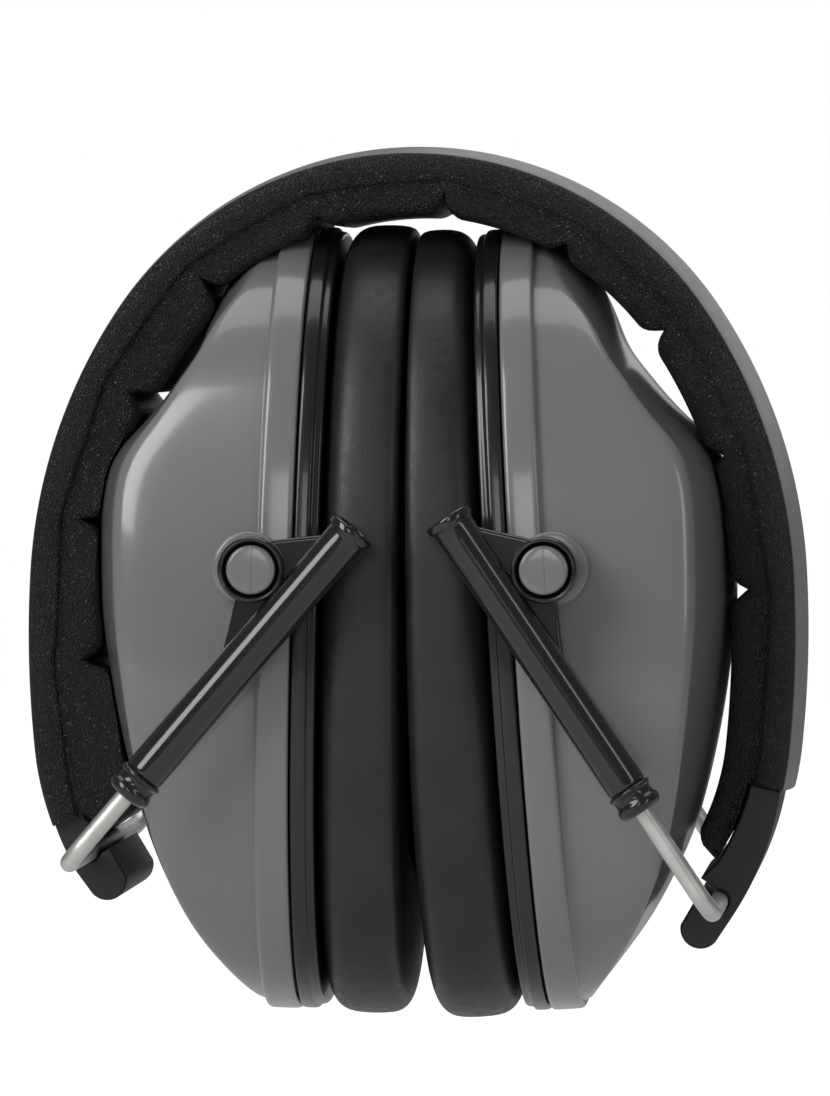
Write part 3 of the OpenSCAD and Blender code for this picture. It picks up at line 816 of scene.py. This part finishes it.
def make_band(cups):
    section = padding_section_maker([tree_of(cup) for cup in cups])
    for side, sign in SIDES.items():
        cover = band_strip(f"{side}_band_cover", "band_cover",
                           *side_range(side, COVER_END[side]), cover_section())
        spring = band_strip(f"{side}_band_spring", "spring",
                            *side_range(side, COVER_END[side] + sign * 6), spring_section())
        padding = band_strip(f"{side}_band_padding", "padding",
                             *side_range(side, PAD_END[side]), section, step=0.7,
                             steps_at=(*COVER_END.values(), *WALL_END.values()))
        for piece in (cover, spring, padding):
            blend_side(piece)
        nodes = ("crown_{}", "left_{}") if side == "left" else ("right_{}",)
        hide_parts(*(n.format("cover") for n in nodes))
        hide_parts(*(n.format("spring") for n in nodes))
        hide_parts(*(n.format("padding") for n in nodes))


# ---------------------------------------------------------------- yokes, sleeves and bushes
def arm(side):
    """The yoke's pivot, its angle, and where its bush starts, in mm for the right side."""
    x, z = on_band(PIVOT_S[side], PIVOT_DEPTH[side])
    pivot = (abs(x), z)
    dx, dz = STUD_X - pivot[0], STUD_Z - pivot[1]
    reach = math.sqrt(dx * dx + dz * dz - RING_OFFSET ** 2)
    angle = math.atan2(dz, -dx) - math.atan2(RING_OFFSET, reach)
    return pivot, angle, reach + RING_FROM_TOP - SLEEVE_L - BUSH_L


def arm_placer(side, end_sign=1):
    """From the arm's frame, +Z along it and +X towards the ring, to the row frame."""
    pivot, angle, _ = arm(side)
    turn = angle - math.pi / 2
    c, s = math.cos(turn), math.sin(turn)
    sign = SIDES[side]

    def place(p):
        return (sign * (pivot[0] + p[0] * c + p[2] * s), end_sign * p[1],
                pivot[1] - p[0] * s + p[2] * c)

    return place


def make_yoke(side):
    """The wire: a round bar bent twice, with an upset bead at each end."""
    cross_steps, bend_steps, leg_steps, sides = 6, 10, 16, 20
    y_bend = SLEEVE_Y - BEND_R
    half = [(0.0, y_bend * k / cross_steps) for k in range(1, cross_steps + 1)]
    for k in range(1, bend_steps + 1):
        turn = math.radians(90 * k / bend_steps)
        half.append((BEND_R - BEND_R * math.cos(turn), y_bend + BEND_R * math.sin(turn)))
    half += [(BEND_R + (LEG_L - BEND_R) * k / leg_steps, SLEEVE_Y)
             for k in range(1, leg_steps + 1)]
    path = [(z, -y) for z, y in reversed(half)] + [(0.0, 0.0)] + half
    circle = unit_circle(sides)
    rows = []
    for k, (z, y) in enumerate(path):
        before, after = path[max(0, k - 1)], path[min(len(path) - 1, k + 1)]
        dz, dy = after[0] - before[0], after[1] - before[1]
        length = math.hypot(dz, dy)
        nz, ny = -dy / length, dz / length
        radius = BEAD_R if z > LEG_L - BEAD_L else WIRE_R
        rows.append([(radius * c, y + ny * radius * s, z + nz * radius * s) for c, s in circle])
    yoke = make_piece(f"{side}_yoke_wire", rows, "wire", arm_placer(side), capped=True)
    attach(yoke, f"{side}_yoke")
    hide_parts(f"{side}_wire_yoke")


def make_band_end(side):
    """The moulded band end: a strip that narrows to a rounded toe, with the wire's snap hook."""
    s_start, s_pivot = abs(COVER_END[side]) + 0.05, abs(PIVOT_S[side])
    pivot = arm(side)[0]
    # The toe wraps two circles, each a centre and a radius
    toe_circles = (((pivot[0] - 0.9, pivot[1] - 0.7), HOOK_R),
                   ((pivot[0] - 2.4, pivot[1] - 3.6), HOOK_R - 0.5))
    # The wire snaps into the bore through a slot a little narrower than itself
    bore_r, half_slot, slot_angle = WIRE_R + 0.1, WIRE_R - 0.15, math.radians(145)
    along = (math.cos(slot_angle), math.sin(slot_angle))
    across = (along[1], -along[0])
    root = math.sqrt(bore_r * bore_r - half_slot * half_slot)

    def slot_point(t, offset):
        return (pivot[0] + along[0] * t + across[0] * offset,
                pivot[1] + along[1] * t + across[1] * offset)

    steps = 12
    inner_end = s_pivot - 4.5
    inner = [on_band(s_start + (inner_end - s_start) * k / steps, 5.5) for k in range(steps + 1)]
    half_gap = math.degrees(math.asin(half_slot / bore_r))
    bore_from = math.degrees(slot_angle) - half_gap
    bore = arc_points(pivot, bore_r, bore_from, bore_from - 360 + 2 * half_gap, 22)
    (x0, z0), (x1, z1) = (on_band(s_pivot, depth) for depth in (0.0, 1.0))
    outward = math.degrees(math.atan2(z0 - z1, x0 - x1)) % 360
    toe = []
    for degrees in range(168, int(outward) + 1, 6):
        u = (math.cos(math.radians(degrees)), math.sin(math.radians(degrees)))
        centre, radius = max(toe_circles,
                             key=lambda c: c[0][0] * u[0] + c[0][1] * u[1] + c[1])
        toe.append((centre[0] + radius * u[0], centre[1] + radius * u[1]))
    tip, at_tip, at_start = s_pivot + 0.4, PIVOT_DEPTH[side] - 2.6, 1.45
    outer = [on_band(tip + (s_start - tip) * k / steps, at_tip + (at_start - at_tip) * k / steps)
             for k in range(steps + 1)]
    points = (inner + [slot_point(3.6, half_slot), slot_point(root + 0.2, half_slot)] + bore
              + [slot_point(root + 0.2, -half_slot), slot_point(2.6, -half_slot)] + toe + outer)
    sign = SIDES[side]
    piece = prism(f"{side}_end_piece", points, -END_W / 2, END_W / 2, "band_end",
                  lambda p: (sign * p[0], p[1], p[2]), bevel=0.4)
    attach(piece, f"{side}_band")
    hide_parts(f"{side}_band_end")


def make_sleeve(side, end):
    """The sleeve: a tube with a collared top, the ring that holds the stud, and a web to it."""
    base = arm_placer(side, ENDS[end])
    z0 = arm(side)[2] + BUSH_L
    top = z0 + SLEEVE_L
    ring_z = top - RING_FROM_TOP
    r, bore = SLEEVE_R, 1.85
    y0, y1 = RING_Y
    stud_bore, recess_r, recess_y = STUD_R + 0.1, HEAD_R + 0.4, RING_Y[1] - HEAD_T - 0.1

    def tube_place(p):
        return base((p[0], SLEEVE_Y + p[1], p[2]))

    def ring_place(p):
        return base((RING_OFFSET + p[0], p[2], ring_z + p[1]))

    tube = lathe("tube", (
        (bore, z0), (r - 0.2, z0), (r, z0 + 0.2), (r, z0 + 0.6), (r, z0 + 14), (r, top - 14),
        (r, top - 1.7), (r + 0.06, top - 1.4), (r + 0.42, top - 1.2), (r + 0.5, top - 1.0),
        (r + 0.5, top - 0.35), (r + 0.38, top - 0.12), (r + 0.1, top), (bore + 0.35, top),
        (bore + 0.1, top - 0.1), (bore, top - 0.4), (bore, top - 2.0), (0.02, top - 2.2),
    ), "sleeve", tube_place)
    ring = lathe("ring", (
        (stud_bore, y0 + 0.1), (stud_bore + 0.15, y0), (RING_R - 0.3, y0), (RING_R, y0 + 0.3),
        (RING_R, y1 - 0.55), (RING_R - 0.12, y1 - 0.2), (RING_R - 0.45, y1), (HEAD_R + 0.75, y1),
        (HEAD_R + 0.5, y1 - 0.12), (recess_r, y1 - 0.4), (recess_r, recess_y),
        (stud_bore, recess_y), (stud_bore, y0 + 0.1),
    ), "sleeve", ring_place)
    corner = arc_points((RING_OFFSET, ring_z), RING_R - 0.25, 75, -100, 8)
    web = prism("web", [
        (0.0, ring_z + 10.8), (1.2, ring_z + 10.6), *corner, (4.2, ring_z - 7.0),
        (2.6, ring_z - 10.2), (1.2, ring_z - 13.4), (0.0, ring_z - 14.5),
    ], 40.3, 42.9, "sleeve", base, bevel=0.5)
    sleeve = join(f"{side}_{end}_tube", [tube, ring, web])
    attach(sleeve, f"{side}_sleeves")
    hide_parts(f"{side}_{end}_sleeve")


def make_bush(side, end):
    """The ridged bush that closes the sleeve's lower end round the wire."""
    base = arm_placer(side, ENDS[end])
    z0 = arm(side)[2]
    r, bore = SLEEVE_R, WIRE_R + 0.1
    profile = ((bore, 0.1), (bore + 0.15, 0), (r - 0.5, 0), (r - 0.15, 0.12), (r + 0.2, 0.5),
               (r + 0.3, 0.8), (r + 0.3, 1.25), (r + 0.12, 1.6), (r - 0.1, 1.85), (r - 0.1, 2.65),
               (r + 0.08, 2.8), (r + 0.26, 2.95), (r + 0.3, 3.15), (r + 0.22, BUSH_L),
               (1.8, BUSH_L), (1.8, BUSH_L + 3), (bore, BUSH_L + 3), (bore, 0.1))
    bush = lathe(f"{side}_{end}_collar", [(a, z0 + b) for a, b in profile], "bush",
                 lambda p: base((p[0], SLEEVE_Y + p[1], p[2])))
    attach(bush, f"{side}_sleeves")
    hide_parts(f"{side}_{end}_bush")


def dress_cad_nodes():
    """Every CAD node, shown or replaced, takes its slot's material."""
    slots = {s["node"]: s["material_slot"] for s in frame["record"]["subparts"]}
    for name, node in frame["nodes"].items():
        node.data.materials.clear()
        node.data.materials.append(materials[slots[name]])


materials = make_materials()
make_camera()
make_studio()
make_floor()
dress_cad_nodes()
made_cups = [make_cup(side) for side in SIDES]
for side in SIDES:
    make_seal_plate(side)
    make_cushion(side)
    make_liner(side)
    make_yoke(side)
    make_band_end(side)
    for end in ENDS:
        make_sleeve(side, end)
        make_bush(side, end)
make_band(made_cups)
